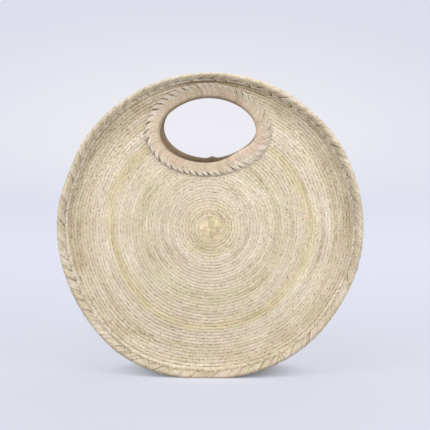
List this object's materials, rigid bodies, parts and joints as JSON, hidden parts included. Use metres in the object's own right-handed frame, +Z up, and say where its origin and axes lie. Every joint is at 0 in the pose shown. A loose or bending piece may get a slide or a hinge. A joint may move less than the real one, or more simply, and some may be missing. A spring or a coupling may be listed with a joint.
{
  "type": "round handbag",
  "caption": "Round handbag of spiral-sewn palm braid: dished front and back panels on a gusset, braided rims, and oval handle holes bound with braid.",
  "frame": {"origin": "centre of the bottom of the bag's box, on the surface it stands on, midway between the front and back rims", "axes": "+Z up, +X to the right seen from the front, -Y towards the front panel"},
  "size_m": [0.38, 0.1, 0.3782],
  "materials": {
    "panel_palm": "matte",
    "rim_palm": "matte",
    "handle_palm": "matte",
    "gusset_palm": "matte",
    "seam_strand": "matte"
  },
  "bodies": {
    "shell": {"front_panel_body": "panel_palm", "back_panel_body": "panel_palm", "front_rim_body": "rim_palm", "back_rim_body": "rim_palm", "gusset": "gusset_palm", "left_gusset_binding": "handle_palm", "right_gusset_binding": "handle_palm", "front_gusset_seam": "seam_strand", "back_gusset_seam": "seam_strand"},
    "front_top": {"front_panel_top": "panel_palm", "front_rim_top": "rim_palm", "front_handle_braid": "handle_palm"},
    "back_top": {"back_panel_top": "panel_palm", "back_rim_top": "rim_palm", "back_handle_braid": "handle_palm"}
  },
  "joints": [
    {"name": "front_mouth_flex", "type": "hinge", "parent": "shell", "child": "front_top", "pos_m": [0, -0.035, 0.24407], "axis": [1, 0, 0], "range_deg": [-15, 15], "stiffness_Nm_per_rad": 3},
    {"name": "back_mouth_flex", "type": "hinge", "parent": "shell", "child": "back_top", "pos_m": [0, 0.035, 0.24407], "axis": [-1, 0, 0], "range_deg": [-15, 15], "stiffness_Nm_per_rad": 3}
  ]
}
